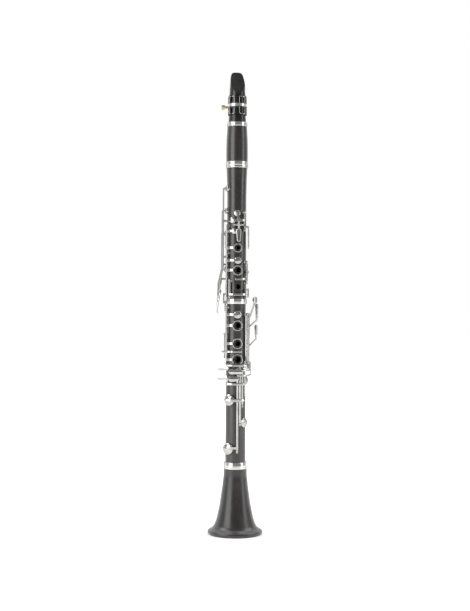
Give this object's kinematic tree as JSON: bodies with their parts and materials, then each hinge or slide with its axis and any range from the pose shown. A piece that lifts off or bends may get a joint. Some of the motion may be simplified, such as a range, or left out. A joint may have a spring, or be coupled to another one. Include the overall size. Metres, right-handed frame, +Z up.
{
  "type": "clarinet",
  "caption": "Soprano clarinet of dark wood with silvered keywork on hinge rods and rocking levers, sliding barrel, mouthpiece with reed and ligature.",
  "frame": {"origin": "middle of the bell's rim, which the instrument stands on", "axes": "+Z up along the bore towards the mouthpiece tip, -Y the front with the finger holes, +X to the right seen from the front"},
  "size_m": [0.0802, 0.0802, 0.675],
  "materials": {
    "bell_wood": "oiled, hand polished dark granadilla wood",
    "joint_wood": "oiled, polished granadilla wood",
    "barrel_wood": "oiled, polished granadilla wood",
    "ebonite": "polished hard rubber",
    "cane": "cut and scraped cane",
    "cork": "sheet cork, lightly greased",
    "pad_skin": "fish skin over felt",
    "ligature_lacquer": "black lacquered sheet with bright edges",
    "ligature_screw_metal": "knurled, thinly plated",
    "steel": "drawn and blued spring and rod steel",
    "ring_silver": "turned and silver plated",
    "tube_silver": "turned tube",
    "key_silver": "forged and silver plated, polished"
  },
  "bodies": {
    "body": {"bell": "bell_wood", "bell_ring": "ring_silver", "hinge_rods": "steel", "lower_joint": "joint_wood", "lower_joint_ring": "ring_silver", "lower_posts": "key_silver", "needle_springs": "steel", "register_tube": "tube_silver", "tenon_corks": "cork", "thumb_bush": "tube_silver", "thumb_rest": "key_silver", "thumb_rest_screws": "steel", "upper_joint": "joint_wood", "upper_joint_ring": "ring_silver", "upper_posts": "key_silver"},
    "first_ring_key": {"first_ring_key": "key_silver", "first_ring_pad": "pad_skin"},
    "second_ring_key": {"second_ring_key": "key_silver", "second_ring_pad": "pad_skin"},
    "lower_ring_key": {"lower_ring_key": "key_silver", "lower_ring_pad": "pad_skin"},
    "thumb_ring_key": {"thumb_ring_key": "key_silver"},
    "a_key": {"a_key": "key_silver", "a_pad": "pad_skin"},
    "register_key": {"register_key": "key_silver", "register_pad": "pad_skin"},
    "side_1_key": {"side_1_key": "key_silver", "side_1_pad": "pad_skin"},
    "side_2_key": {"side_2_key": "key_silver", "side_2_pad": "pad_skin"},
    "side_3_key": {"side_3_key": "key_silver", "side_3_pad": "pad_skin"},
    "side_4_key": {"side_4_key": "key_silver", "side_4_pad": "pad_skin"},
    "g_sharp_key": {"g_sharp_key": "key_silver", "g_sharp_pad": "pad_skin"},
    "upper_sliver_key": {"upper_sliver_key": "key_silver", "upper_sliver_pad": "pad_skin"},
    "c_sharp_g_sharp_key": {"c_sharp_g_sharp_key": "key_silver", "c_sharp_g_sharp_pad": "pad_skin"},
    "lower_sliver_key": {"lower_sliver_key": "key_silver", "lower_sliver_pad": "pad_skin"},
    "e_b_key": {"e_b_key": "key_silver", "e_b_pad": "pad_skin"},
    "f_sharp_c_sharp_key": {"f_sharp_c_sharp_key": "key_silver", "f_sharp_c_sharp_pad": "pad_skin"},
    "f_c_key": {"f_c_key": "key_silver", "f_c_pad": "pad_skin"},
    "a_flat_e_flat_key": {"a_flat_e_flat_key": "key_silver", "a_flat_e_flat_pad": "pad_skin"},
    "left_e_b_lever": {"left_e_b_lever": "key_silver"},
    "left_f_sharp_lever": {"left_f_sharp_lever": "key_silver"},
    "left_f_c_lever": {"left_f_c_lever": "key_silver"},
    "head": {"barrel": "barrel_wood", "barrel_rings": "ring_silver", "mouthpiece": "ebonite", "mouthpiece_cork": "cork", "reed": "cane", "ligature_band": "ligature_lacquer"},
    "ligature_screw": {"ligature_screw": "ligature_screw_metal"}
  },
  "joints": [
    {"name": "first_ring_press", "type": "hinge", "parent": "body", "child": "first_ring_key", "pos_m": [-0.01557, -0.00863, 0.42925], "axis": [0, 0, 1], "range_deg": [0, 4.8], "stiffness_Nm_per_rad": 0.02, "springref_deg": -28.65},
    {"name": "second_ring_press", "type": "hinge", "parent": "body", "child": "second_ring_key", "pos_m": [-0.01557, -0.00863, 0.37745], "axis": [0, 0, 1], "range_deg": [0, 4.8], "stiffness_Nm_per_rad": 0.02, "springref_deg": -28.65},
    {"name": "lower_ring_press", "type": "hinge", "parent": "body", "child": "lower_ring_key", "pos_m": [-0.01557, -0.00863, 0.29015], "axis": [0, 0, 1], "range_deg": [0, 4.8], "stiffness_Nm_per_rad": 0.02, "springref_deg": -28.65},
    {"name": "thumb_ring_press", "type": "hinge", "parent": "body", "child": "thumb_ring_key", "pos_m": [-0.01403, 0.01096, 0.431], "axis": [0, 0, -1], "range_deg": [0, 4.9], "stiffness_Nm_per_rad": 0.02, "springref_deg": -28.65},
    {"name": "g_sharp_press", "type": "hinge", "parent": "body", "child": "g_sharp_key", "pos_m": [0.01011, -0.01465, 0.4555], "axis": [0, 0, 1], "range_deg": [0, 6], "stiffness_Nm_per_rad": 0.02, "springref_deg": -28.65},
    {"name": "c_sharp_g_sharp_press", "type": "hinge", "parent": "body", "child": "c_sharp_g_sharp_key", "pos_m": [-0.01214, -0.01302, 0.3572], "axis": [0, 0, 1], "range_deg": [0, 7], "stiffness_Nm_per_rad": 0.02, "springref_deg": -28.65},
    {"name": "upper_sliver_press", "type": "hinge", "parent": "body", "child": "upper_sliver_key", "pos_m": [0.01335, -0.01177, 0.38125], "axis": [0, 0, -1], "range_deg": [0, 7], "stiffness_Nm_per_rad": 0.02, "springref_deg": -28.65},
    {"name": "lower_sliver_press", "type": "hinge", "parent": "body", "child": "lower_sliver_key", "pos_m": [-0.01741, -0.0037, 0.2745], "axis": [0, 0, 1], "range_deg": [0, 6], "stiffness_Nm_per_rad": 0.02, "springref_deg": -28.65},
    {"name": "e_b_press", "type": "hinge", "parent": "body", "child": "e_b_key", "pos_m": [-0.00032, -0.0184, 0.1807], "axis": [0, 0, -1], "range_deg": [0, 8.7], "stiffness_Nm_per_rad": 0.02, "springref_deg": -28.65},
    {"name": "f_c_press", "type": "hinge", "parent": "body", "child": "f_c_key", "pos_m": [0.00689, -0.01706, 0.21705], "axis": [0, 0, -1], "range_deg": [0, 6.7], "stiffness_Nm_per_rad": 0.02, "springref_deg": -28.65},
    {"name": "f_sharp_c_sharp_press", "type": "hinge", "parent": "body", "child": "f_sharp_c_sharp_key", "pos_m": [0.00335, -0.01809, 0.20195], "axis": [0, 0, -1], "range_deg": [0, 9.5], "stiffness_Nm_per_rad": 0.02, "springref_deg": -28.65},
    {"name": "a_flat_e_flat_press", "type": "hinge", "parent": "body", "child": "a_flat_e_flat_key", "pos_m": [0.01055, -0.01507, 0.2271], "axis": [0, 0, -1], "range_deg": [0, 7.5], "stiffness_Nm_per_rad": 0.02, "springref_deg": -28.65},
    {"name": "left_e_b_lift", "type": "hinge", "parent": "body", "child": "left_e_b_lever", "pos_m": [0.01817, -0.00288, 0.2831], "axis": [0, 0, 1], "range_deg": [0, 10.7]},
    {"name": "left_f_sharp_lift", "type": "hinge", "parent": "body", "child": "left_f_sharp_lever", "pos_m": [0.01706, -0.00689, 0.2831], "axis": [0, 0, 1], "range_deg": [0, 13.2]},
    {"name": "left_f_c_lift", "type": "hinge", "parent": "body", "child": "left_f_c_lever", "pos_m": [0.01507, -0.01055, 0.2831], "axis": [0, 0, 1], "range_deg": [0, 12.3]},
    {"name": "a_press", "type": "hinge", "parent": "body", "child": "a_key", "pos_m": [0, -0.0178, 0.45], "axis": [1, 0, 0], "range_deg": [0, 6], "stiffness_Nm_per_rad": 0.02, "springref_deg": -28.65},
    {"name": "register_press", "type": "hinge", "parent": "body", "child": "register_key", "pos_m": [0, 0.0185, 0.468], "axis": [-1, 0, 0], "range_deg": [0, 3.5], "stiffness_Nm_per_rad": 0.02, "springref_deg": -28.65},
    {"name": "side_4_press", "type": "hinge", "parent": "body", "child": "side_4_key", "pos_m": [-0.01683, -0.0058, 0.456], "axis": [0.3256, -0.9455, 0], "range_deg": [0, 1.6], "stiffness_Nm_per_rad": 0.02, "springref_deg": -28.65},
    {"name": "side_3_press", "type": "hinge", "parent": "body", "child": "side_3_key", "pos_m": [-0.01763, -0.00248, 0.404], "axis": [0.1392, -0.9903, 0], "range_deg": [0, 1.8], "stiffness_Nm_per_rad": 0.02, "springref_deg": -28.65},
    {"name": "side_2_press", "type": "hinge", "parent": "body", "child": "side_2_key", "pos_m": [-0.01778, 0.00093, 0.393], "axis": [-0.0523, -0.9986, 0], "range_deg": [0, 2.6], "stiffness_Nm_per_rad": 0.02, "springref_deg": -28.65},
    {"name": "side_1_press", "type": "hinge", "parent": "body", "child": "side_1_key", "pos_m": [-0.01719, 0.00461, 0.372], "axis": [-0.2588, -0.9659, 0], "range_deg": [0, 4.5], "stiffness_Nm_per_rad": 0.02, "springref_deg": -28.65},
    {"name": "barrel_tuning", "type": "slide", "parent": "body", "child": "head", "axis": [0, 0, 1], "range_m": [0, 0.003]},
    {"name": "ligature_screw_turn", "type": "hinge", "parent": "head", "child": "ligature_screw", "pos_m": [0, 0.0176, 0.625], "axis": [1, 0, 0], "continuous": true}
  ],
  "couplings": [
    {"joint": "left_e_b_lift", "follows": "e_b_press", "ratio": 1.2},
    {"joint": "left_f_sharp_lift", "follows": "f_sharp_c_sharp_press", "ratio": 1.363},
    {"joint": "left_f_c_lift", "follows": "f_c_press", "ratio": 1.789}
  ]
}
